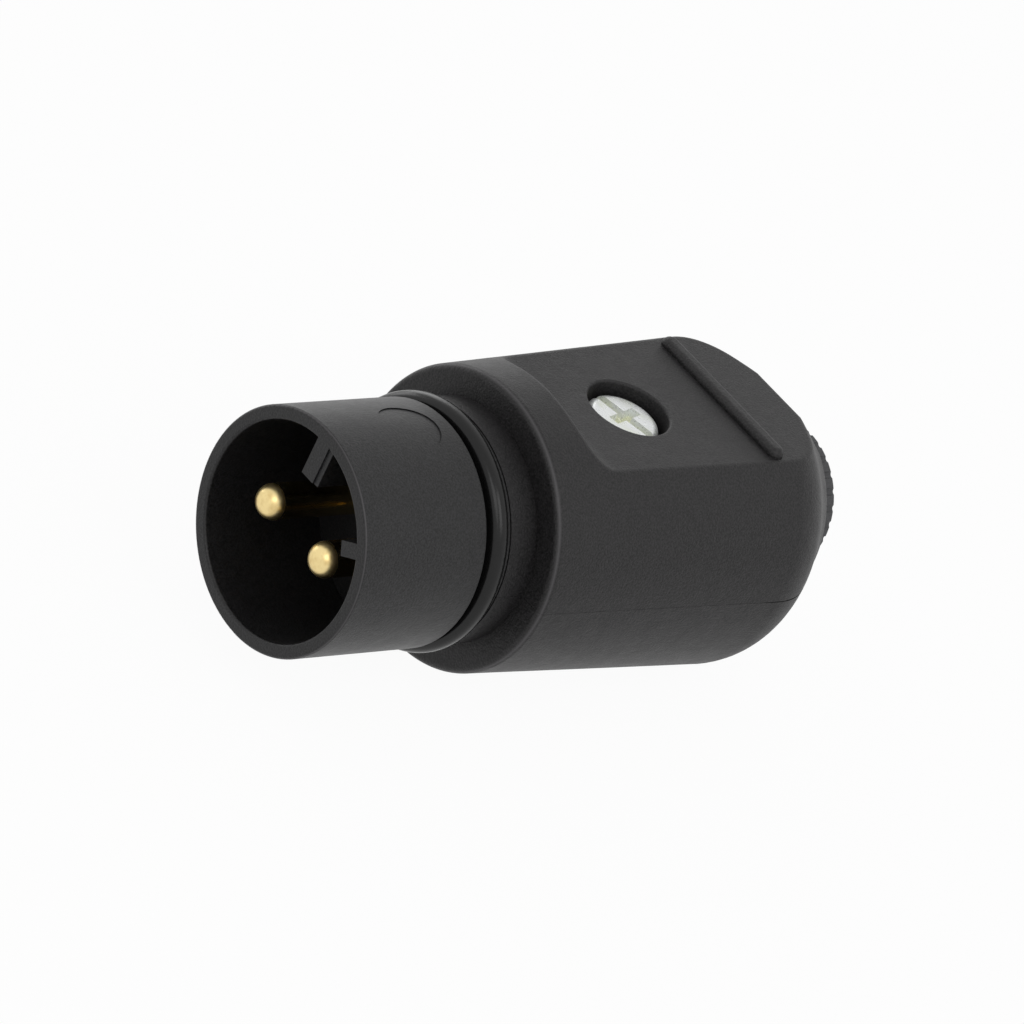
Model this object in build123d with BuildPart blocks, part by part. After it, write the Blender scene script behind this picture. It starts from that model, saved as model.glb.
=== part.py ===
from build123d import *
from math import radians, sqrt, tan
import os

# Low voltage plug: two round pins inside a keyed collar, a two-shell housing and a cable grommet.
# X is the plug's axis. The collar's front rim is at X = 0 and the cable leaves at the far end.
# Z is up, towards the screw that holds the shells together. Left and right are as seen from the cable end.

# Clearances
snug_gap = 0.05
slide_gap = 0.15
rubber_gap = 0.15
cable_radius = 4.25

# Collar
collar_radius = 13.5
collar_wall = 1.6
collar_length = 17.45
rim_round = 0.3
mark_radius = 3.6
mark_depth = 0.13
mark_from_rear = 5.65

# Keys inside the collar
key_height = 4.5
key_width = 2.7
key_offset = -0.55
key_step = 0.2
key_pad_width = 2.0
side_key_height = 2.2
side_key_width = 1.7
side_key_angle = 28.0

# Carrier behind the collar
groove_width = 0.75
seat_radius = 12.2
seal_radius = 14.1
seal_width = 2.3
seal_round = 1.05
seal_gap = 0.08
seat_rib_width = 0.35
seat_rib_drop = 0.1
base_inset = 0.95
base_thickness = 6.0
flange_height = 3.15
flange_thickness = 2.0
cup_wall = 1.85
lug_width = 3.0
lug_depth = 1.4

# Housing
neck_radius = 13.4
neck_length = 3.7
neck_wall = 2.2
body_step = 3.33
body_round = 0.8
flare_angle = 2.3
body_straight = 35.0
shoulder_radius = 8.2
shoulder_turn = 45.0
dome_radius = 21.8
dome_depth = 10.3
lip_round = 0.7
wall = 2.2
rib_thickness = 1.8

# Flats on the housing, measured from the axis
crown_length = 6.0
flat_blend = 3.6
flat_height = 13.45
flat_angle = 1.2
flat_round = 0.9
facet_place = 42.1
facet_angle = 50.0
under_flat_height = 13.3
under_flat_blend = 2.4
under_flat_end = 1.0

# Raised bar across the upper flat
bar_length = 21.5
bar_width = 2.05
bar_height = 0.95
bar_round = 0.75
bar_place = 33.25

# Seam between the shells
seam_depth = 0.35
seam_gap_front = 0.03
seam_gap_rear = 0.3

# Housing screw, nut and keeper
screw_place = 19.2
screw_radius = 2.0
screw_length = 22.0
head_radius = 4.25
head_height = 3.1
head_side = 2.2
head_flat = 3.35
head_arc = 0.95
head_depth = 1.1
slot_width = 1.2
slot_depth = 1.1
cross_span = 4.6
cross_width = 1.3
cross_depth = 2.0
cross_taper = 8.0
drive_angle = 105.6
recess_radius = 4.8
recess_round = 0.3
recess_wall = 1.6
boss_wall = 1.2
nut_flats = 7.0
nut_thickness = 3.2
nut_turn = 30.0
keeper_radius = 3.4
keeper_thickness = 1.0

# Contact pins
pin_radius = 2.0
pin_pitch = 10.0
pin_setback = 1.0
pin_tip_round = 1.85
pin_root_radius = 2.4
shoulder_pin_radius = 3.3
shoulder_pin_length = 1.5
tail_radius = 3.0
tail_length = 13.5
wire_radius = 1.7
wire_depth = 9.0

# Terminal and retainer screws
terminal_radius = 1.5
terminal_length = 3.7
terminal_head_radius = 2.6
terminal_head_height = 1.8
terminal_from_end = 4.5
small_slot_width = 0.7
small_slot_depth = 0.9
retainer_thickness = 2.0
retainer_screw_radius = 1.25
retainer_screw_offset = 6.3
retainer_head_radius = 2.2
retainer_head_height = 1.6
retainer_bite = 4.0
retainer_boss_radius = 2.1
fin_thickness = 1.6
fin_height = 7.0
fin_length = 12.0

# Cable clamp
clamp_place = 31.0
clamp_length = 6.0
clamp_ear = 2.2
clamp_wall = 1.9
clamp_width = 22.6
clamp_edge = 0.5
clamp_pitch = 17.4
clamp_screw_radius = 1.5
clamp_screw_length = 12.0
clamp_head_radius = 2.75
clamp_head_height = 2.0
clamp_post_radius = 4.1
clamp_nut_flats = 5.5
clamp_nut_thickness = 2.4
clamp_nut_depth = 4.4

# Grommet
grommet_radius = 8.45
grommet_stand = 5.35
grommet_round = 0.25
grommet_flange_radius = 10.4
grommet_flange_thickness = 2.0
grommet_tail = 1.5
grommet_mouth = 0.9
flute_count = 28
flute_radius = 0.45
flute_depth = 0.3
flute_start = 0.9

# Places along the axis, from front to rear
seal_start = collar_length + groove_width
seat_rib_front = seal_start + seal_width + seal_gap
seat_rib_rear = seat_rib_front + seat_rib_width
neck_front = seat_rib_rear + seal_gap
body_front = neck_front + neck_length
dome_start = body_front + body_straight
rear_face = dome_start + dome_depth
base_front = collar_length - base_inset
base_rear = base_front + base_thickness
flange_front = body_front + rib_thickness
flange_rear = flange_front + flange_thickness
cavity_front = flange_rear + slide_gap + rib_thickness
screw_x = body_front + screw_place
clamp_x = body_front + clamp_place
bar_x = body_front + bar_place
facet_x = body_front + facet_place
flange_groove_rear = rear_face - wall
flange_groove_front = flange_groove_rear - grommet_flange_thickness - 2 * rubber_gap
cavity_rear = flange_groove_front - rib_thickness
flat_start = body_front + crown_length + flat_blend
retainer_front = base_rear + shoulder_pin_length
retainer_rear = retainer_front + retainer_thickness
tail_end = retainer_front + tail_length
terminal_x = tail_end - terminal_from_end

# Radii that follow from the ones above
bore_radius = collar_radius - collar_wall
neck_bore = neck_radius - neck_wall
carrier_radius = neck_bore - slide_gap
flange_radius = carrier_radius + flange_height
cup_radius = carrier_radius - cup_wall
body_front_radius = neck_radius + body_step
seal_bore = seat_radius + rubber_gap
seal_thickness = seal_radius - seal_bore
seat_rib_radius = neck_radius - seat_rib_drop
flare = tan(radians(flare_angle))
flat_slope = tan(radians(flat_angle))
facet_slope = tan(radians(facet_angle))
beyond = 2 * collar_radius
quarter_turn = 90.0


def body_radius(x):
    """Radius of the housing's flared part at a place along the axis"""
    return body_front_radius + flare * (x - body_front)


def flat_z(x):
    """Height of the upper flat at a place along the axis"""
    return flat_height + flat_slope * (x - body_front)


def axial_plane(x):
    """Plane across the axis, facing the rear, with local x along Y and local y along Z"""
    return Plane(origin=(x, 0, 0), x_dir=(0, 1, 0), z_dir=(1, 0, 0))


def upright_plane(x, y, z):
    """Horizontal plane at a point"""
    return Plane(origin=(x, y, z), x_dir=(1, 0, 0), z_dir=(0, 0, 1))


def finish(part, label):
    """Name a finished piece and write it"""
    part.label = label
    export_step(part, f"parts/{label}.step")


os.makedirs("parts", exist_ok=True)


# Outer form of the housing, both shells together
with BuildSketch(Plane.XY) as body_outline:
    with BuildLine():
        front_edge = Polyline(
            (rear_face, 0),
            (neck_front, 0),
            (neck_front, neck_radius),
            (body_front, neck_radius),
            (body_front, body_front_radius),
            (dome_start, body_radius(dome_start)),
        )
        shoulder = JernArc(
            start=front_edge @ 1,
            tangent=(1, flare),
            radius=shoulder_radius,
            arc_size=-shoulder_turn - flare_angle,
        )
        dome = JernArc(
            start=shoulder @ 1,
            tangent=shoulder % 1,
            radius=dome_radius,
            arc_size=Axis((rear_face, 0, 0), (0, 1, 0)),
        )
        Line(dome @ 1, (rear_face, 0))
    make_face()
    fillet(body_outline.vertices().sort_by_distance((body_front, body_front_radius))[0], radius=body_round)
    fillet(body_outline.vertices().sort_by_distance(dome @ 1)[0], radius=lip_round)

with BuildPart() as body_form:
    add(body_outline)
    revolve(axis=Axis.X)
    # Upper flat: a concave front wall behind the crown, then a plane that runs out through the dome
    with BuildSketch(Plane.XZ):
        with BuildLine():
            upper_wall = JernArc(
                start=(flat_start, flat_z(flat_start)),
                tangent=(-1, -flat_slope),
                radius=flat_blend,
                arc_size=-quarter_turn,
            )
            Polyline(
                upper_wall @ 1,
                ((upper_wall @ 1).X, beyond),
                (rear_face + wall, beyond),
                (rear_face + wall, flat_z(rear_face + wall)),
                upper_wall @ 0,
            )
        make_face()
    extrude(amount=beyond, both=True, mode=Mode.SUBTRACT)
    # Small sloping facet behind it, which ends the flat in a straight edge
    facet_end = rear_face + wall
    with BuildSketch(Plane.XZ):
        with BuildLine():
            Polyline(
                (facet_x, flat_z(facet_x)),
                (facet_x, beyond),
                (facet_end, beyond),
                (facet_end, flat_z(facet_x) - facet_slope * (facet_end - facet_x)),
                (facet_x, flat_z(facet_x)),
            )
        make_face()
    extrude(amount=beyond, both=True, mode=Mode.SUBTRACT)
    # Softened edge round the upper flat, apart from its front, which runs into the concave wall
    upper_flat = body_form.faces().sort_by_distance((bar_x, 0, flat_z(bar_x)))[0]
    fillet(upper_flat.edges().sort_by_distance((flat_start, 0, flat_z(flat_start)))[1:], radius=flat_round)
    # Lower flat: parallel to the axis, with a wall at each end
    under_rear = dome_start - under_flat_end
    with BuildSketch(Plane.XZ):
        with BuildLine():
            front_wall = JernArc(
                start=(flat_start, -under_flat_height),
                tangent=(-1, 0),
                radius=flat_blend,
                arc_size=quarter_turn,
            )
            rear_wall = JernArc(
                start=(under_rear, -under_flat_height),
                tangent=(1, 0),
                radius=under_flat_blend,
                arc_size=-quarter_turn,
            )
            Line(front_wall @ 0, rear_wall @ 0)
            Polyline(
                front_wall @ 1,
                ((front_wall @ 1).X, -beyond),
                ((rear_wall @ 1).X, -beyond),
                rear_wall @ 1,
            )
        make_face()
    extrude(amount=beyond, both=True, mode=Mode.SUBTRACT)

# Hollow of the housing, both shells together
with BuildPart() as hollow:
    with BuildSketch(Plane.XY):
        with BuildLine():
            Polyline(
                (neck_front, 0),
                (neck_front, neck_bore),
                (flange_front, neck_bore),
                (flange_front, flange_radius + slide_gap),
                (flange_rear + slide_gap, flange_radius + slide_gap),
                (flange_rear + slide_gap, cup_radius + cup_wall),
                (cavity_front, cup_radius + cup_wall),
                (cavity_front, body_radius(cavity_front) - wall),
                (dome_start, body_radius(dome_start) - wall),
            )
            inner_shoulder = JernArc(
                start=(dome_start, body_radius(dome_start) - wall),
                tangent=(1, flare),
                radius=shoulder_radius - wall,
                arc_size=Axis((cavity_rear, 0, 0), (0, 1, 0)),
            )
            Polyline(
                inner_shoulder @ 1,
                (cavity_rear, grommet_radius + slide_gap),
                (flange_groove_front, grommet_radius + slide_gap),
                (flange_groove_front, grommet_flange_radius + slide_gap),
                (flange_groove_rear, grommet_flange_radius + slide_gap),
                (flange_groove_rear, grommet_radius + slide_gap),
                (rear_face, grommet_radius + slide_gap),
                (rear_face, 0),
                (neck_front, 0),
            )
        make_face()
    revolve(axis=Axis.X)
    # The wall behind each flat is as thick as the rest
    with BuildSketch(Plane.XZ):
        with BuildLine():
            Polyline(
                (cavity_front, flat_z(cavity_front) - wall),
                (cavity_rear, flat_z(cavity_rear) - wall),
                (cavity_rear, beyond),
                (cavity_front, beyond),
                (cavity_front, flat_z(cavity_front) - wall),
            )
        make_face()
        with Locations(((cavity_front + cavity_rear) / 2, -(under_flat_height - wall + beyond) / 2)):
            Rectangle(cavity_rear - cavity_front, beyond - under_flat_height + wall)
    extrude(amount=beyond, both=True, mode=Mode.SUBTRACT)

# Thin relief along the outside of the seam, wider towards the rear
with BuildPart() as seam_relief:
    with BuildSketch(Plane.XY) as seam_strip:
        add(body_outline)
        mirror(about=Plane.XZ)
    extrude(amount=seam_gap_rear, both=True)
    with BuildSketch(Plane.XY) as seam_core:
        add(body_outline)
        mirror(about=Plane.XZ)
        offset(amount=-seam_depth)
    extrude(amount=seam_gap_rear, both=True, mode=Mode.SUBTRACT)
    with BuildSketch(Plane.XZ):
        with BuildLine():
            Polyline(
                (neck_front, 0),
                (rear_face, 0),
                (rear_face, seam_gap_rear / 2),
                (clamp_x, seam_gap_front / 2),
                (neck_front, seam_gap_front / 2),
                (neck_front, 0),
            )
        make_face()
        mirror(about=Plane.XZ)
    extrude(amount=beyond, both=True, mode=Mode.INTERSECT)

# Screw recess and bosses, from the screw's own sizes
head_top = flat_z(screw_x) - head_depth
head_seat = head_top - head_height
shank_hole = screw_radius + slide_gap
boss_radius = keeper_radius + slide_gap + boss_wall
nut_bottom = head_seat - screw_length
nut_top = nut_bottom + nut_thickness
keeper_pocket = keeper_thickness + 2 * slide_gap
nut_slot_top = -clamp_nut_depth
nut_slot_bottom = nut_slot_top - clamp_nut_thickness - 2 * snug_gap
nut_slot_back = clamp_nut_flats / sqrt(3) + snug_gap
lug_radius = flange_radius + slide_gap

with BuildPart() as upper_shell:
    add(body_form)
    add(hollow, mode=Mode.SUBTRACT)
    # Boss down to the seam, with a cup round the screw's head
    with BuildSketch(Plane.XY):
        with Locations((screw_x, 0)):
            Circle(boss_radius)
    extrude(amount=head_seat)
    with BuildSketch(upright_plane(screw_x, 0, head_seat - recess_wall)):
        Circle(recess_radius + recess_wall)
    extrude(amount=recess_wall + head_height)
    with BuildSketch(upright_plane(screw_x, 0, head_seat)):
        Circle(recess_radius)
    extrude(amount=beyond, mode=Mode.SUBTRACT)
    recess_rim = (screw_x + recess_radius, 0, flat_z(screw_x + recess_radius))
    fillet(upper_shell.edges().sort_by_distance(recess_rim)[0], radius=recess_round)
    with BuildSketch(Plane.XY):
        with Locations((screw_x, 0)):
            Circle(shank_hole)
    extrude(amount=head_seat, mode=Mode.SUBTRACT)
    # Raised bar across the flat
    bar_plane = Plane(
        origin=(bar_x, 0, flat_z(bar_x) - bar_height),
        x_dir=(0, 1, 0),
        z_dir=(-flat_slope, 0, 1),
    )
    with BuildSketch(bar_plane):
        SlotOverall(bar_length, bar_width)
    bar = extrude(amount=2 * bar_height)
    fillet(bar.edges().group_by(Axis.Z)[-1], radius=bar_round)
    split(bisect_by=Plane.XY, keep=Keep.TOP)
    add(seam_relief, mode=Mode.SUBTRACT)

with BuildPart() as lower_shell:
    add(body_form)
    add(hollow, mode=Mode.SUBTRACT)
    # Boss for the housing screw
    with BuildSketch(upright_plane(screw_x, 0, -under_flat_height + wall / 2)):
        Circle(boss_radius)
    extrude(amount=under_flat_height - wall / 2)
    # Cradle and posts for the cable clamp
    with BuildSketch(upright_plane(clamp_x, 0, -under_flat_height + wall / 2)):
        Rectangle(clamp_length, clamp_pitch)
        with GridLocations(0, clamp_pitch, 1, 2):
            Circle(clamp_post_radius)
    extrude(amount=under_flat_height - wall / 2)
    # Lugs that stop the carrier from turning
    with BuildSketch(axial_plane(flange_front)):
        with Locations((lug_radius, 0), (-lug_radius, 0)):
            Rectangle(2 * lug_depth, lug_width)
    extrude(amount=flange_thickness + slide_gap)
    # Channel for the cable, holes, and pockets for the nuts
    with BuildSketch(axial_plane(clamp_x - clamp_length)):
        Circle(cable_radius)
    extrude(amount=2 * clamp_length, mode=Mode.SUBTRACT)
    with BuildSketch(upright_plane(screw_x, 0, 0)):
        Circle(shank_hole)
    extrude(amount=-beyond, mode=Mode.SUBTRACT)
    with BuildSketch(upright_plane(screw_x, 0, 0)):
        Circle(keeper_radius + slide_gap)
    extrude(amount=-keeper_pocket, mode=Mode.SUBTRACT)
    with BuildSketch(upright_plane(screw_x, 0, nut_top)):
        RegularPolygon(nut_flats / 2 + snug_gap, 6, major_radius=False, rotation=nut_turn)
    extrude(amount=-beyond, mode=Mode.SUBTRACT)
    with BuildSketch(upright_plane(clamp_x, 0, 0)):
        with GridLocations(0, clamp_pitch, 1, 2):
            Circle(clamp_screw_radius + slide_gap)
    extrude(amount=clamp_ear - clamp_screw_length - slide_gap, mode=Mode.SUBTRACT)
    with BuildSketch(upright_plane(clamp_x - nut_slot_back, 0, nut_slot_top)):
        with GridLocations(0, clamp_pitch, 1, 2):
            Rectangle(
                nut_slot_back + clamp_post_radius,
                clamp_nut_flats + 2 * snug_gap,
                align=(Align.MIN, Align.CENTER),
            )
    extrude(amount=nut_slot_bottom - nut_slot_top, mode=Mode.SUBTRACT)
    split(bisect_by=Plane.XY, keep=Keep.BOTTOM)
    add(seam_relief, mode=Mode.SUBTRACT)

# Carrier: the collar, the seat of the ring, the flange that the shells trap, and the base
with BuildPart() as contact_carrier:
    with BuildSketch(Plane.XY):
        with BuildLine():
            Polyline(
                (base_front, 0),
                (base_front, bore_radius),
                (0, bore_radius),
                (0, collar_radius),
                (collar_length, collar_radius),
                (collar_length, seat_radius),
                (seat_rib_front, seat_radius),
                (seat_rib_front, seat_rib_radius),
                (seat_rib_rear, seat_rib_radius),
                (seat_rib_rear, carrier_radius),
                (flange_front + slide_gap / 2, carrier_radius),
                (flange_front + slide_gap / 2, flange_radius),
                (flange_rear, flange_radius),
                (flange_rear, cup_radius),
                (base_rear, cup_radius),
                (base_rear, 0),
                (base_front, 0),
            )
        make_face()
    revolve(axis=Axis.X)
    rims = contact_carrier.edges().filter_by(GeomType.CIRCLE)
    fillet(rims.group_by(Axis.X)[0], radius=rim_round)
    rear_rims = contact_carrier.edges().filter_by(GeomType.CIRCLE)
    rear_rims = rear_rims.filter_by_position(Axis.X, collar_length - snug_gap, collar_length + snug_gap)
    seat_step = abs(collar_radius - seat_radius)
    fillet(rear_rims.sort_by(SortBy.RADIUS)[-1], radius=min(rim_round, seat_step / 2))
    # Key at the top, with a pad flush with the rim; each key is rooted half way into the collar's wall
    key_root = bore_radius + collar_wall / 2
    with BuildSketch(axial_plane(key_step)):
        with Locations((key_offset, key_root)):
            Rectangle(key_width, key_root - bore_radius + key_height, align=(Align.CENTER, Align.MAX))
    extrude(amount=base_front - key_step)
    with BuildSketch(axial_plane(0)):
        with Locations((key_offset + (key_width - key_pad_width) / 2, bore_radius)):
            Rectangle(key_pad_width, key_height, align=(Align.CENTER, Align.MAX))
    extrude(amount=2 * key_step)
    # Key at the side
    with BuildSketch(axial_plane(0)):
        with PolarLocations(key_root, 1, 180 - side_key_angle):
            Rectangle(
                key_root - bore_radius + side_key_height,
                side_key_width,
                align=(Align.MAX, Align.CENTER),
            )
    extrude(amount=base_front)
    # Holes for the pins and bosses for the retainer's screws
    with BuildSketch(axial_plane(base_front)):
        with GridLocations(pin_pitch, 0, 2, 1):
            Circle(pin_root_radius + snug_gap)
    extrude(amount=base_thickness, mode=Mode.SUBTRACT)
    with BuildSketch(axial_plane(base_rear)):
        with GridLocations(0, 2 * retainer_screw_offset, 1, 2):
            Circle(retainer_boss_radius)
    extrude(amount=shoulder_pin_length)
    with BuildSketch(axial_plane(retainer_front)):
        with GridLocations(0, 2 * retainer_screw_offset, 1, 2):
            Circle(retainer_screw_radius + snug_gap)
    extrude(amount=-(shoulder_pin_length + retainer_bite), mode=Mode.SUBTRACT)
    # Notches that take the shells' lugs
    with BuildSketch(axial_plane(flange_front)):
        with Locations((lug_radius, 0), (-lug_radius, 0)):
            Rectangle(2 * (lug_depth + slide_gap), lug_width + 2 * slide_gap)
    extrude(amount=flange_thickness + slide_gap, mode=Mode.SUBTRACT)

# Shallow round mark on top of the collar
with BuildPart() as mould_mark:
    with BuildSketch(Plane.XY):
        with Locations((collar_length - mark_from_rear, 0)):
            Circle(mark_radius)
    extrude(amount=beyond)
    with BuildSketch(axial_plane(0)):
        Circle(collar_radius - mark_depth)
    extrude(amount=collar_length, mode=Mode.SUBTRACT)

with BuildPart() as marked_carrier:
    add(contact_carrier)
    add(mould_mark, mode=Mode.SUBTRACT)

# Rubber ring on its seat behind the collar
with BuildPart() as sealing_ring:
    with BuildSketch(Plane.XY) as ring_section:
        with Locations((seal_start + seal_width / 2, (seal_bore + seal_radius) / 2)):
            Rectangle(seal_width, seal_thickness)
        ring_round = min(seal_round, seal_thickness - snug_gap)
        fillet(ring_section.vertices().group_by(Axis.Y)[-1], radius=ring_round)
    revolve(axis=Axis.X)

# Grommet, trapped by its flange in the rear of the shells
grommet_front = cavity_rear - grommet_tail
grommet_end = rear_face + grommet_stand
with BuildPart() as cable_grommet:
    with BuildSketch(Plane.XY):
        with BuildLine():
            Polyline(
                (grommet_front, cable_radius),
                (grommet_front, grommet_radius),
                (flange_groove_front + rubber_gap, grommet_radius),
                (flange_groove_front + rubber_gap, grommet_flange_radius),
                (flange_groove_rear - rubber_gap, grommet_flange_radius),
                (flange_groove_rear - rubber_gap, grommet_radius),
                (grommet_end, grommet_radius),
                (grommet_end, cable_radius),
                (grommet_front, cable_radius),
            )
        make_face()
    revolve(axis=Axis.X)
    end_rims = cable_grommet.edges().group_by(Axis.X)[-1].sort_by(SortBy.RADIUS)
    fillet(end_rims[-1], radius=grommet_round)
    end_bore = cable_grommet.edges().filter_by(GeomType.CIRCLE).group_by(Axis.X)[-1].sort_by(SortBy.RADIUS)
    chamfer(end_bore[0], length=grommet_mouth)
    with BuildSketch(axial_plane(rear_face + flute_start)):
        with PolarLocations(grommet_radius + flute_radius - flute_depth, flute_count):
            Circle(flute_radius)
    extrude(amount=grommet_stand, mode=Mode.SUBTRACT)

# Screw with a rounded head and a combined slot and cross
with BuildPart() as housing_screw:
    screw_plane = Plane(origin=(screw_x, 0, head_seat), x_dir=(1, 0, 0), z_dir=(0, -1, 0))
    with BuildSketch(screw_plane):
        with BuildLine():
            Polyline(
                (0, head_height),
                (0, -screw_length),
                (screw_radius, -screw_length),
                (screw_radius, 0),
                (head_radius, 0),
                (head_radius, head_side),
            )
            RadiusArc((head_radius, head_side), (head_flat, head_height), -head_arc)
            Line((head_flat, head_height), (0, head_height))
        make_face()
    revolve(axis=Axis((screw_x, 0, 0), (0, 0, 1)))
    with BuildSketch(upright_plane(screw_x, 0, head_top)):
        with Locations(Location((0, 0), drive_angle)):
            Rectangle(2 * head_radius + slot_width, slot_width)
    extrude(amount=-slot_depth, mode=Mode.SUBTRACT)
    with BuildSketch(upright_plane(screw_x, 0, head_top)):
        with Locations(Location((0, 0), drive_angle), Location((0, 0), drive_angle + quarter_turn)):
            Rectangle(cross_span, cross_width)
    extrude(amount=-cross_depth, taper=cross_taper, mode=Mode.SUBTRACT)

with BuildPart() as housing_nut:
    with BuildSketch(upright_plane(screw_x, 0, nut_bottom)):
        RegularPolygon(nut_flats / 2, 6, major_radius=False, rotation=nut_turn)
        Circle(screw_radius + snug_gap, mode=Mode.SUBTRACT)
    extrude(amount=nut_thickness)

with BuildPart() as screw_keeper:
    with BuildSketch(upright_plane(screw_x, 0, -slide_gap - keeper_thickness)):
        Circle(keeper_radius)
        Circle(screw_radius + snug_gap, mode=Mode.SUBTRACT)
    extrude(amount=keeper_thickness)

# Plate that traps the pins' shoulders, with a fin between the terminals
with BuildPart() as pin_retainer:
    with BuildSketch(axial_plane(retainer_front)):
        Circle(cup_radius - slide_gap)
        with GridLocations(pin_pitch, 0, 2, 1):
            Circle(tail_radius + snug_gap, mode=Mode.SUBTRACT)
        with GridLocations(0, 2 * retainer_screw_offset, 1, 2):
            Circle(retainer_screw_radius + slide_gap, mode=Mode.SUBTRACT)
    extrude(amount=retainer_thickness)
    with BuildSketch(axial_plane(retainer_rear)):
        Rectangle(fin_thickness, fin_height)
    extrude(amount=fin_length)

# Screws of the retainer
for place, side in (("upper", 1), ("lower", -1)):
    with BuildPart() as retainer_screw:
        with BuildSketch(axial_plane(retainer_rear)):
            with Locations((0, side * retainer_screw_offset)):
                Circle(retainer_screw_radius)
        extrude(amount=-(retainer_thickness + shoulder_pin_length + retainer_bite - slide_gap))
        with BuildSketch(axial_plane(retainer_rear)):
            with Locations((0, side * retainer_screw_offset)):
                Circle(retainer_head_radius)
        extrude(amount=retainer_head_height)
        with BuildSketch(axial_plane(retainer_rear + retainer_head_height)):
            with Locations((0, side * retainer_screw_offset)):
                Rectangle(2 * retainer_head_radius, small_slot_width)
        extrude(amount=-small_slot_depth, mode=Mode.SUBTRACT)
    finish(retainer_screw.part, f"retainer_screw_{place}")

# Pins, their terminal screws, and the clamp's screws and nuts, one of each on either side
for place, side in (("left", -1), ("right", 1)):
    pin_y = side * pin_pitch / 2
    clamp_y = side * clamp_pitch / 2
    with BuildPart() as contact_pin:
        with BuildSketch(Plane(origin=(0, pin_y, 0), x_dir=(1, 0, 0), z_dir=(0, 0, 1))) as pin_section:
            with BuildLine():
                Polyline(
                    (pin_setback, 0),
                    (pin_setback, pin_radius),
                    (base_front, pin_radius),
                    (base_front, pin_root_radius),
                    (base_rear, pin_root_radius),
                    (base_rear, shoulder_pin_radius),
                    (retainer_front, shoulder_pin_radius),
                    (retainer_front, tail_radius),
                    (tail_end, tail_radius),
                    (tail_end, 0),
                    (pin_setback, 0),
                )
            make_face()
            fillet(
                pin_section.vertices().sort_by_distance((pin_setback, pin_radius))[0],
                radius=pin_tip_round,
            )
        revolve(axis=Axis((0, pin_y, 0), (1, 0, 0)))
        with BuildSketch(axial_plane(tail_end)):
            with Locations((pin_y, 0)):
                Circle(wire_radius)
        extrude(amount=-wire_depth, mode=Mode.SUBTRACT)
        with BuildSketch(upright_plane(terminal_x, pin_y, 0)):
            Circle(terminal_radius + snug_gap)
        extrude(amount=2 * tail_radius, mode=Mode.SUBTRACT)
    finish(contact_pin.part, f"contact_pin_{place}")

    with BuildPart() as terminal_screw:
        with BuildSketch(upright_plane(terminal_x, pin_y, tail_radius + snug_gap)):
            Circle(terminal_radius)
        extrude(amount=-terminal_length)
        with BuildSketch(upright_plane(terminal_x, pin_y, tail_radius + snug_gap)):
            Circle(terminal_head_radius)
        extrude(amount=terminal_head_height)
        with BuildSketch(upright_plane(terminal_x, pin_y, tail_radius + snug_gap + terminal_head_height)):
            Rectangle(2 * terminal_head_radius, small_slot_width)
        extrude(amount=-small_slot_depth, mode=Mode.SUBTRACT)
    finish(terminal_screw.part, f"terminal_screw_{place}")

    with BuildPart() as clamp_screw:
        with BuildSketch(upright_plane(clamp_x, clamp_y, clamp_ear)):
            Circle(clamp_screw_radius)
        extrude(amount=-clamp_screw_length)
        with BuildSketch(upright_plane(clamp_x, clamp_y, clamp_ear)):
            Circle(clamp_head_radius)
        extrude(amount=clamp_head_height)
        with BuildSketch(upright_plane(clamp_x, clamp_y, clamp_ear + clamp_head_height)):
            Rectangle(2 * clamp_head_radius, small_slot_width)
        extrude(amount=-small_slot_depth, mode=Mode.SUBTRACT)
    finish(clamp_screw.part, f"clamp_screw_{place}")

    with BuildPart() as clamp_nut:
        with BuildSketch(upright_plane(clamp_x, clamp_y, nut_slot_top - snug_gap)):
            RegularPolygon(clamp_nut_flats / 2, 6, major_radius=False)
            Circle(clamp_screw_radius + snug_gap, mode=Mode.SUBTRACT)
        extrude(amount=-clamp_nut_thickness)
    finish(clamp_nut.part, f"clamp_nut_{place}")

# Saddle over the cable, with an ear on each post
with BuildPart() as cable_clamp:
    with BuildSketch(axial_plane(clamp_x - clamp_length / 2)) as saddle:
        with Locations((0, clamp_ear / 2)):
            Rectangle(clamp_width, clamp_ear)
        Circle(cable_radius + clamp_wall)
        Circle(cable_radius, mode=Mode.SUBTRACT)
        with Locations((0, -cable_radius)):
            Rectangle(clamp_width, 2 * cable_radius, mode=Mode.SUBTRACT)
    extrude(amount=clamp_length)
    fillet(cable_clamp.edges().filter_by(Axis.Z), radius=clamp_edge)
    with BuildSketch(upright_plane(clamp_x, 0, 0)):
        with GridLocations(0, clamp_pitch, 1, 2):
            Circle(clamp_screw_radius + slide_gap)
    extrude(amount=clamp_ear, mode=Mode.SUBTRACT)

finish(upper_shell.part, "upper_shell")
finish(lower_shell.part, "lower_shell")
finish(marked_carrier.part, "contact_carrier")
finish(sealing_ring.part, "sealing_ring")
finish(cable_grommet.part, "cable_grommet")
finish(housing_screw.part, "housing_screw")
finish(housing_nut.part, "housing_nut")
finish(screw_keeper.part, "screw_keeper")
finish(pin_retainer.part, "pin_retainer")
finish(cable_clamp.part, "cable_clamp")
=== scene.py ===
from math import sqrt

import bpy
from mathutils import Matrix, Vector


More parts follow.
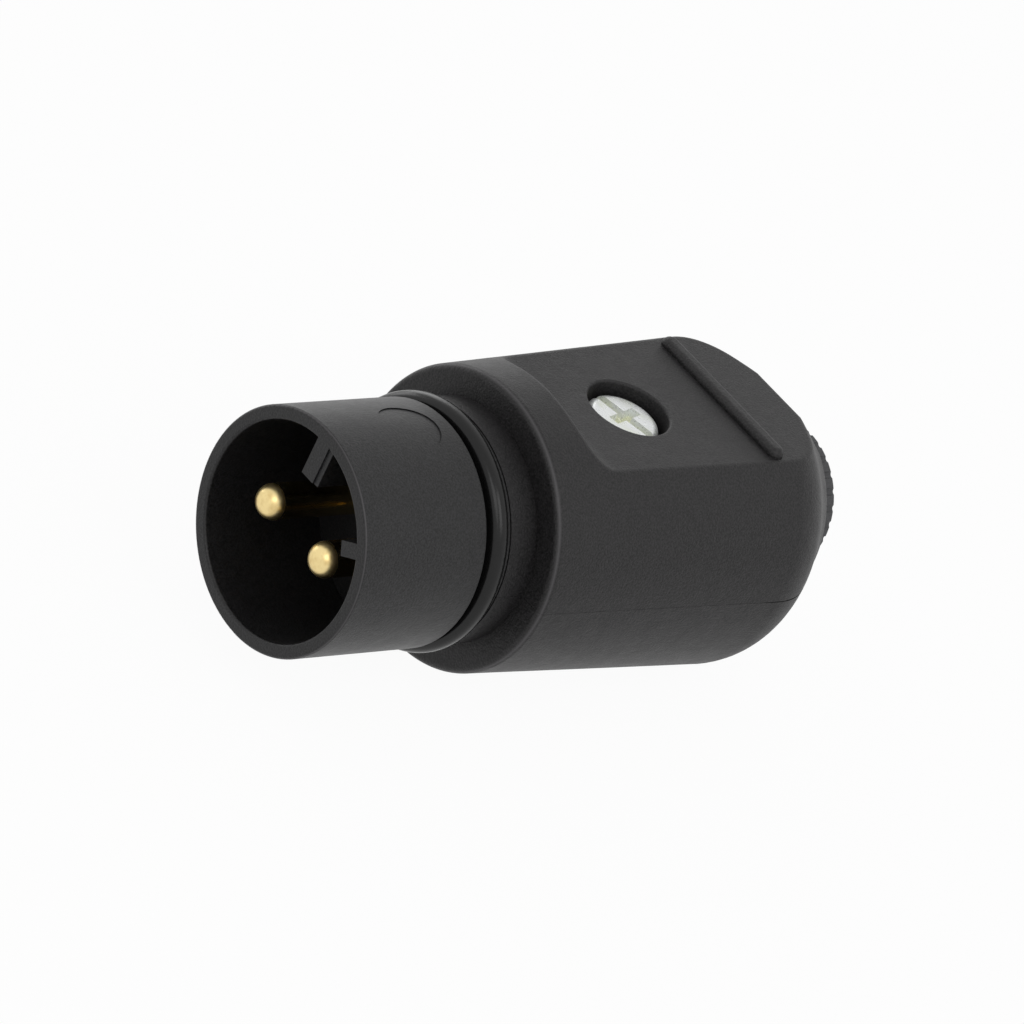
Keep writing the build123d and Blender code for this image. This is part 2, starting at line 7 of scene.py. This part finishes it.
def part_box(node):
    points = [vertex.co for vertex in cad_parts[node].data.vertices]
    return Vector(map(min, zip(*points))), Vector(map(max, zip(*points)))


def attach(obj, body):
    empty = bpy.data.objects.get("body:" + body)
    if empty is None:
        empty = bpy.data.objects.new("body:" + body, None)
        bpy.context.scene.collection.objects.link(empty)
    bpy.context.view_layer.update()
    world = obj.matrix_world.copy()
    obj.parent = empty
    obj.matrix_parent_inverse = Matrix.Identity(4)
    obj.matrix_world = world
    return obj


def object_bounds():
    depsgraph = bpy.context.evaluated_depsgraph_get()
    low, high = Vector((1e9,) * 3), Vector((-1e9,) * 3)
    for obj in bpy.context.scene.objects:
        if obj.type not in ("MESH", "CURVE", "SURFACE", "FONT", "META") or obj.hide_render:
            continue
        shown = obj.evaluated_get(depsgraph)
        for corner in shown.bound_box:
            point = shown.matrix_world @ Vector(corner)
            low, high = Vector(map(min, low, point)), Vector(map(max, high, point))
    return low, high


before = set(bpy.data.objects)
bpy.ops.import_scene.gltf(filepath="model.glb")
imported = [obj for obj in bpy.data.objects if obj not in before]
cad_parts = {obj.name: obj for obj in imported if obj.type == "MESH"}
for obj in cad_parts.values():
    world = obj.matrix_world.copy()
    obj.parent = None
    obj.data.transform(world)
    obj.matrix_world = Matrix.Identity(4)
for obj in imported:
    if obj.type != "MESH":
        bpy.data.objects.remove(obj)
cad_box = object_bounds()

# Camera: the photograph's own place, turn and lens, in the plug's frame
camera_place = Vector((-0.56183, -0.47509, 0.41180))
camera_right = Vector((0.723703, -0.569274, 0.390104))
camera_up = Vector((0.056528, 0.612277, 0.788620))
camera_lens_mm = 281.25
camera_sensor_mm = 36.0

# Sizes on the plug in metres
neck_length = 0.0037
pin_tip_length = 0.0019
drive_start = 0.0008
drive_floor = 0.0011

# Feature sizes of the finishes in metres
gloss_patch = 0.0016
brass_patch = 0.0011
zinc_patch = 0.0018
zinc_gloss_patch = 0.0007
turning_pitch = 0.0002
turning_depth = 0.0000008
turning_stretch = (1.0, 0.02, 0.02)

# Colours as linear light
black_plastic = (0.0103, 0.0096, 0.0101)
black_collar = (0.0100, 0.0098, 0.0103)
# Lighter colour painted on the housing's and rim's front edges as a highlight line
painted_highlight_plastic = (0.0650, 0.0620, 0.0650)
black_rubber = (0.0070, 0.0070, 0.0070)
grey_rubber = (0.0660, 0.0660, 0.0685)
brass = (0.880, 0.700, 0.340)
dull_brass = (0.720, 0.540, 0.240)
zinc = (0.850, 0.870, 0.870)
green_zinc = (0.780, 0.810, 0.720)
# Lighter yellow for the floor and walls of the screw's drive: partly a real tint, partly painted light
# against the shade there
drive_tint_and_painted_light = (0.970, 0.980, 0.840)
steel = (0.560, 0.560, 0.550)
dull_steel = (0.448, 0.448, 0.440)
fibre = (0.110, 0.045, 0.022)
floor_white = (0.900, 0.900, 0.900)
white = (1.0, 1.0, 1.0)

# Light
world_level = 0.50
floor_glow = 0.95
lamp_size = 0.5


def hollow_material(name):
    """A material with only its output, and its node tree"""
    material = bpy.data.materials.new(name)
    material.use_nodes = True
    material.node_tree.nodes.clear()
    return material, material.node_tree


def set_colour(socket, colour):
    """Write an opaque colour on a socket"""
    socket.default_value = (*colour, 1.0)


def principled(tree, roughness, metallic=0.0, specular=0.5):
    """The surface shader, linked to the tree's output"""
    shader = tree.nodes.new("ShaderNodeBsdfPrincipled")
    output = tree.nodes.new("ShaderNodeOutputMaterial")
    shader.inputs["Roughness"].default_value = roughness
    shader.inputs["Metallic"].default_value = metallic
    shader.inputs["Specular IOR Level"].default_value = specular
    tree.links.new(shader.outputs["BSDF"], output.inputs["Surface"])
    return shader


def object_place(tree, stretch=(1.0, 1.0, 1.0)):
    """Position on the object in metres, stretched along its axes"""
    place = tree.nodes.new("ShaderNodeTexCoord")
    mapping = tree.nodes.new("ShaderNodeMapping")
    mapping.inputs["Scale"].default_value = stretch
    tree.links.new(place.outputs["Object"], mapping.inputs["Vector"])
    return mapping.outputs["Vector"]


def noise(tree, place, size, detail=2.0):
    """Noise with features of a size in metres"""
    node = tree.nodes.new("ShaderNodeTexNoise")
    node.inputs["Scale"].default_value = 1 / size
    node.inputs["Detail"].default_value = detail
    tree.links.new(place, node.inputs["Vector"])
    return node.outputs["Fac"]


def spread(tree, value, low, high, start=0.35, end=0.65):
    """The value's middle range stretched from low to high"""
    node = tree.nodes.new("ShaderNodeMapRange")
    node.inputs["From Min"].default_value = start
    node.inputs["From Max"].default_value = end
    node.inputs["To Min"].default_value = low
    node.inputs["To Max"].default_value = high
    tree.links.new(value, node.inputs["Value"])
    return node.outputs["Result"]


def two_colours(tree, share, first, second):
    """A colour between two, by a share"""
    node = tree.nodes.new("ShaderNodeMix")
    node.data_type = "RGBA"
    set_colour(node.inputs["A"], first)
    set_colour(node.inputs["B"], second)
    tree.links.new(share, node.inputs["Factor"])
    return node.outputs["Result"]


def raise_surface(tree, shader, layers):
    """Chain of bumps on a shader, each a height socket and its depth in metres"""
    last = None
    for height, depth in layers:
        bump = tree.nodes.new("ShaderNodeBump")
        bump.inputs["Strength"].default_value = 1.0
        bump.inputs["Distance"].default_value = depth
        tree.links.new(height, bump.inputs["Height"])
        if last is not None:
            tree.links.new(last.outputs["Normal"], bump.inputs["Normal"])
        last = bump
    tree.links.new(last.outputs["Normal"], shader.inputs["Normal"])


def shade(colour, factor):
    """A colour made lighter or darker"""
    return tuple(channel * factor for channel in colour)


def band_share(tree, centre, half_width, least_radius):
    """1 on a band round the X axis, at a place along it and outside a radius, and 0 elsewhere"""
    axes = tree.nodes.new("ShaderNodeSeparateXYZ")
    tree.links.new(object_place(tree), axes.inputs["Vector"])
    offset = tree.nodes.new("ShaderNodeMath")
    offset.operation = "SUBTRACT"
    offset.inputs[1].default_value = centre
    tree.links.new(axes.outputs["X"], offset.inputs[0])
    distance = tree.nodes.new("ShaderNodeMath")
    distance.operation = "ABSOLUTE"
    tree.links.new(offset.outputs["Value"], distance.inputs[0])
    along = spread(tree, distance.outputs["Value"], 1, 0, 0.0, half_width)
    radius = tree.nodes.new("ShaderNodeVectorMath")
    radius.operation = "LENGTH"
    tree.links.new(object_place(tree, (0.0, 1.0, 1.0)), radius.inputs[0])
    outside = spread(tree, radius.outputs["Value"], 0, 1, least_radius, least_radius + half_width)
    both = tree.nodes.new("ShaderNodeMath")
    both.operation = "MULTIPLY"
    tree.links.new(along, both.inputs[0])
    tree.links.new(outside, both.inputs[1])
    return both.outputs["Value"]


def blend_in(tree, colour, other, share):
    """A linked colour that turns into a plain one, by a share"""
    node = tree.nodes.new("ShaderNodeMix")
    node.data_type = "RGBA"
    tree.links.new(share, node.inputs["Factor"])
    tree.links.new(colour, node.inputs["A"])
    set_colour(node.inputs["B"], other)
    return node.outputs["Result"]


def moulded(name, colour, roughness, grain, grain_depth, specular=0.34, speckle=0.8, edge=None):
    """Moulded plastic or rubber: an eroded, speckled grain, uneven gloss and, on one edge, a painted
    highlight line
    """
    material, tree = hollow_material(name)
    shader = principled(tree, roughness, specular=specular)
    place = object_place(tree)
    fine = noise(tree, place, grain, detail=3.0)
    darker = shade(colour, 1 - speckle)
    lighter = shade(colour, 1 + speckle)
    tint = two_colours(tree, spread(tree, fine, 0, 1), darker, lighter)
    # On the given edge band the colour turns lighter: a painted highlight line
    if edge is not None:
        tint = blend_in(tree, tint, painted_highlight_plastic, band_share(tree, **edge))
    tree.links.new(tint, shader.inputs["Base Color"])
    uneven = 0.02
    patches = noise(tree, place, gloss_patch, detail=4.0)
    gloss = spread(tree, patches, roughness - uneven, roughness + uneven)
    tree.links.new(gloss, shader.inputs["Roughness"])
    coarse = noise(tree, place, 4 * grain, detail=2.0)
    raise_surface(tree, shader, [(fine, grain_depth), (coarse, grain_depth / 2)])
    return material


def turned_pin(name, colour, worn, tip_roughness, shaft_roughness, tip_end):
    """Turned brass along X: a satin tip up to a place, and a brighter shaft with fine lines round it"""
    material, tree = hollow_material(name)
    shader = principled(tree, shaft_roughness, metallic=1.0)
    place = object_place(tree)
    patches = noise(tree, place, brass_patch, detail=4.0)
    tint = two_colours(tree, spread(tree, patches, 0, 1, start=0.46, end=0.70), colour, worn)
    tree.links.new(tint, shader.inputs["Base Color"])
    axes = tree.nodes.new("ShaderNodeSeparateXYZ")
    tree.links.new(place, axes.inputs["Vector"])
    half_blend = 0.0004
    start = tip_end - half_blend
    end = tip_end + half_blend
    gloss = spread(tree, axes.outputs["X"], tip_roughness, shaft_roughness, start, end)
    tree.links.new(gloss, shader.inputs["Roughness"])
    lines = noise(tree, object_place(tree, turning_stretch), turning_pitch, detail=2.0)
    raise_surface(tree, shader, [(lines, turning_depth)])
    return material


def plated(name, colour, worn, roughness, grain, grain_depth, metallic=1.0, drive_tint_and_light=None, head_top=0.0):
    """Plated steel: a fine crystal grain, a second colour in patches, and a third in the drive: a yellow
    tint and painted light
    """
    material, tree = hollow_material(name)
    shader = principled(tree, roughness, metallic=metallic)
    place = object_place(tree)
    patches = noise(tree, place, zinc_patch, detail=3.0)
    tint = two_colours(tree, spread(tree, patches, 0, 1, start=0.45, end=0.75), colour, worn)
    # In the drive the colour turns lighter and yellower: partly a real tint, partly painted light against
    # the shade there
    if drive_tint_and_light is not None:
        axes = tree.nodes.new("ShaderNodeSeparateXYZ")
        tree.links.new(place, axes.inputs["Vector"])
        share = spread(tree, axes.outputs["Z"], 1, 0, head_top - drive_floor, head_top - drive_start)
        tint = blend_in(tree, tint, drive_tint_and_light, share)
    tree.links.new(tint, shader.inputs["Base Color"])
    smoother = 0.08
    rougher = 0.1
    gloss_spots = noise(tree, place, zinc_gloss_patch, detail=4.0)
    gloss = spread(tree, gloss_spots, roughness - smoother, roughness + rougher)
    tree.links.new(gloss, shader.inputs["Roughness"])
    crystals = noise(tree, place, grain, detail=3.0)
    raise_surface(tree, shader, [(crystals, grain_depth)])
    return material


def direct_ray(tree):
    """1 for what the camera sees, straight or in a reflection, and 0 for light that falls on the object"""
    path = tree.nodes.new("ShaderNodeLightPath")
    total = path.outputs["Is Camera Ray"]
    for ray in ("Is Glossy Ray", "Is Transmission Ray"):
        larger = tree.nodes.new("ShaderNodeMath")
        larger.operation = "MAXIMUM"
        tree.links.new(total, larger.inputs[0])
        tree.links.new(path.outputs[ray], larger.inputs[1])
        total = larger.outputs["Value"]
    return total


def make_world():
    """White surroundings that light the object at a plain level"""
    world = bpy.data.worlds.new("surroundings")
    bpy.context.scene.world = world
    world.use_nodes = True
    tree = world.node_tree
    tree.nodes.clear()
    lighting = tree.nodes.new("ShaderNodeBackground")
    seen = tree.nodes.new("ShaderNodeBackground")
    mix = tree.nodes.new("ShaderNodeMixShader")
    output = tree.nodes.new("ShaderNodeOutputWorld")
    set_colour(lighting.inputs["Color"], white)
    lighting.inputs["Strength"].default_value = world_level
    set_colour(seen.inputs["Color"], white)
    seen.inputs["Strength"].default_value = 1.0
    tree.links.new(direct_ray(tree), mix.inputs["Fac"])
    tree.links.new(lighting.outputs["Background"], mix.inputs[1])
    tree.links.new(seen.outputs["Background"], mix.inputs[2])
    tree.links.new(mix.outputs["Shader"], output.inputs["Surface"])


def floor_material():
    """Pale floor that keeps its shadow and is near white to the camera"""
    material, tree = hollow_material("pale_floor")
    diffuse = tree.nodes.new("ShaderNodeBsdfDiffuse")
    glow = tree.nodes.new("ShaderNodeEmission")
    share = tree.nodes.new("ShaderNodeMath")
    mix = tree.nodes.new("ShaderNodeMixShader")
    output = tree.nodes.new("ShaderNodeOutputMaterial")
    set_colour(diffuse.inputs["Color"], floor_white)
    set_colour(glow.inputs["Color"], white)
    glow.inputs["Strength"].default_value = 1.0
    share.operation = "MULTIPLY"
    share.inputs[1].default_value = floor_glow
    tree.links.new(direct_ray(tree), share.inputs[0])
    tree.links.new(share.outputs["Value"], mix.inputs["Fac"])
    tree.links.new(diffuse.outputs["BSDF"], mix.inputs[1])
    tree.links.new(glow.outputs["Emission"], mix.inputs[2])
    tree.links.new(mix.outputs["Shader"], output.inputs["Surface"])
    return material


def make_floor(level, half=3.0):
    """Flat floor under the plug"""
    mesh = bpy.data.meshes.new("floor")
    turns = ((-1, -1), (1, -1), (1, 1), (-1, 1))
    corners = [(half * along, half * across, level) for along, across in turns]
    mesh.from_pydata(corners, [], [(0, 1, 2, 3)])
    mesh.materials.append(floor_material())
    floor = bpy.data.objects.new("floor", mesh)
    bpy.context.scene.collection.objects.link(floor)


def make_camera():
    """Camera at the photograph's place, rolled as it is there"""
    data = bpy.data.cameras.new("camera")
    data.lens = camera_lens_mm
    data.sensor_width = camera_sensor_mm
    data.clip_start = 0.05
    data.clip_end = 20.0
    camera = bpy.data.objects.new("camera", data)
    bpy.context.scene.collection.objects.link(camera)
    back = camera_right.cross(camera_up)
    turn = Matrix((camera_right, camera_up, back)).transposed().to_4x4()
    camera.matrix_world = Matrix.Translation(camera_place) @ turn
    bpy.context.scene.camera = camera


def soft_lamp(name, right, up, back, power, target):
    """Square lamp placed from the target along the camera's axes, facing the target"""
    data = bpy.data.lights.new(name, "AREA")
    data.shape = "SQUARE"
    data.size = lamp_size
    data.energy = power
    lamp = bpy.data.objects.new(name, data)
    bpy.context.scene.collection.objects.link(lamp)
    towards_camera = camera_right.cross(camera_up)
    lamp.location = target + right * camera_right + up * camera_up + back * towards_camera
    lamp.rotation_mode = "QUATERNION"
    lamp.rotation_quaternion = (target - lamp.location).to_track_quat("-Z", "Y")


def fill_key_root():
    """Plastic between the top key's pad and the rim's flat, where the inner round leaves a groove"""
    pad_edge = 0.0119
    flat_radius = 0.0122
    left, right = -0.0012, 0.0008
    depth = 0.0003
    steps = 8
    outline = [(right, pad_edge), (left, pad_edge)]
    for step in range(steps + 1):
        y = left + (right - left) * step / steps
        outline.append((y, sqrt(flat_radius**2 - y**2)))
    count = len(outline)
    points = [(x, y, z) for x in (0.0, depth) for y, z in outline]
    faces = [tuple(range(count)), tuple(reversed(range(count, 2 * count)))]
    for first in range(count):
        second = (first + 1) % count
        faces.append((second, first, first + count, second + count))
    mesh = bpy.data.meshes.new("key_root")
    mesh.from_pydata(points, [], faces)
    mesh.materials.append(satin)
    piece = bpy.data.objects.new("key_root", mesh)
    bpy.context.scene.collection.objects.link(piece)
    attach(piece, "root")


make_world()
make_camera()
make_floor(cad_box[0].z)
centre = (cad_box[0] + cad_box[1]) / 2
soft_lamp("side", right=0.70, up=0.10, back=0.70, power=1.65, target=centre)
soft_lamp("front", right=0.05, up=0.20, back=0.98, power=1.35, target=centre)
soft_lamp("behind_top", right=-0.10, up=0.80, back=-0.60, power=1.05, target=centre)
soft_lamp("behind_left", right=-0.65, up=0.60, back=-0.45, power=1.4, target=centre)

# Places that the finishes take from the frame
housing_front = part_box("lower_shell")[0].x + neck_length
pin_tip_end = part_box("contact_pin_left")[0].x + pin_tip_length
screw_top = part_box("housing_screw")[1].z

# Painted highlights: lighter bands of colour round the axis on the edges that catch the light
housing_highlight_band = {"centre": housing_front + 0.00033, "half_width": 0.00022, "least_radius": 0.0150}
rim_highlight_band = {"centre": 0.00010, "half_width": 0.00010, "least_radius": 0.0130}

# Plastics and rubbers
grained = moulded(
    "grained_black", black_plastic, roughness=0.50, grain=0.00022, grain_depth=0.000060, edge=housing_highlight_band
)
satin = moulded(
    "satin_black", black_collar, roughness=0.44, grain=0.00022, grain_depth=0.000045, edge=rim_highlight_band
)
ring_rubber = moulded(
    "ring_rubber", black_rubber, roughness=0.23, grain=0.00050, grain_depth=0.000006,
    specular=0.28, speckle=0.1,
)
grommet_rubber = moulded(
    "grommet_rubber", grey_rubber, roughness=0.60, grain=0.00022, grain_depth=0.000012, speckle=0.15
)
keeper_fibre = moulded(
    "keeper_fibre", fibre, roughness=0.70, grain=0.00040, grain_depth=0.000020, speckle=0.3
)
clamp_nylon = moulded("clamp_nylon", black_plastic, roughness=0.48, grain=0.00030, grain_depth=0.000012)

# Metals
pin_brass = turned_pin(
    "pin_brass", brass, dull_brass, tip_roughness=0.34, shaft_roughness=0.17, tip_end=pin_tip_end
)
bright_zinc = plated(
    "bright_zinc", zinc, green_zinc, roughness=0.30, grain=0.00025, grain_depth=0.000003, metallic=0.4
)
housing_zinc = plated(
    "housing_zinc", zinc, green_zinc, roughness=0.30, grain=0.00025, grain_depth=0.000003,
    metallic=0.4, drive_tint_and_light=drive_tint_and_painted_light, head_top=screw_top,
)
plain_steel = plated("plain_steel", steel, dull_steel, roughness=0.38, grain=0.00030, grain_depth=0.000006)

# Finish and record's material slot of each node
dress = {
    "upper_shell": (grained, "housing"),
    "lower_shell": (grained, "housing"),
    "contact_carrier": (satin, "carrier"),
    "pin_retainer": (satin, "carrier"),
    "sealing_ring": (ring_rubber, "seal"),
    "cable_grommet": (grommet_rubber, "grommet"),
    "cable_clamp": (clamp_nylon, "housing"),
    "screw_keeper": (keeper_fibre, "carrier"),
    "contact_pin_left": (pin_brass, "contact"),
    "contact_pin_right": (pin_brass, "contact"),
    "housing_screw": (housing_zinc, "screw"),
    "housing_nut": (plain_steel, "screw"),
    "terminal_screw_left": (plain_steel, "screw"),
    "terminal_screw_right": (plain_steel, "screw"),
    "retainer_screw_upper": (plain_steel, "screw"),
    "retainer_screw_lower": (plain_steel, "screw"),
    "clamp_screw_left": (bright_zinc, "screw"),
    "clamp_screw_right": (bright_zinc, "screw"),
    "clamp_nut_left": (plain_steel, "screw"),
    "clamp_nut_right": (plain_steel, "screw"),
}
for name, (material, slot) in dress.items():
    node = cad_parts[name]
    node.data.materials.clear()
    node.data.materials.append(material)

fill_key_root()

bpy.context.scene.view_settings.view_transform = "Standard"
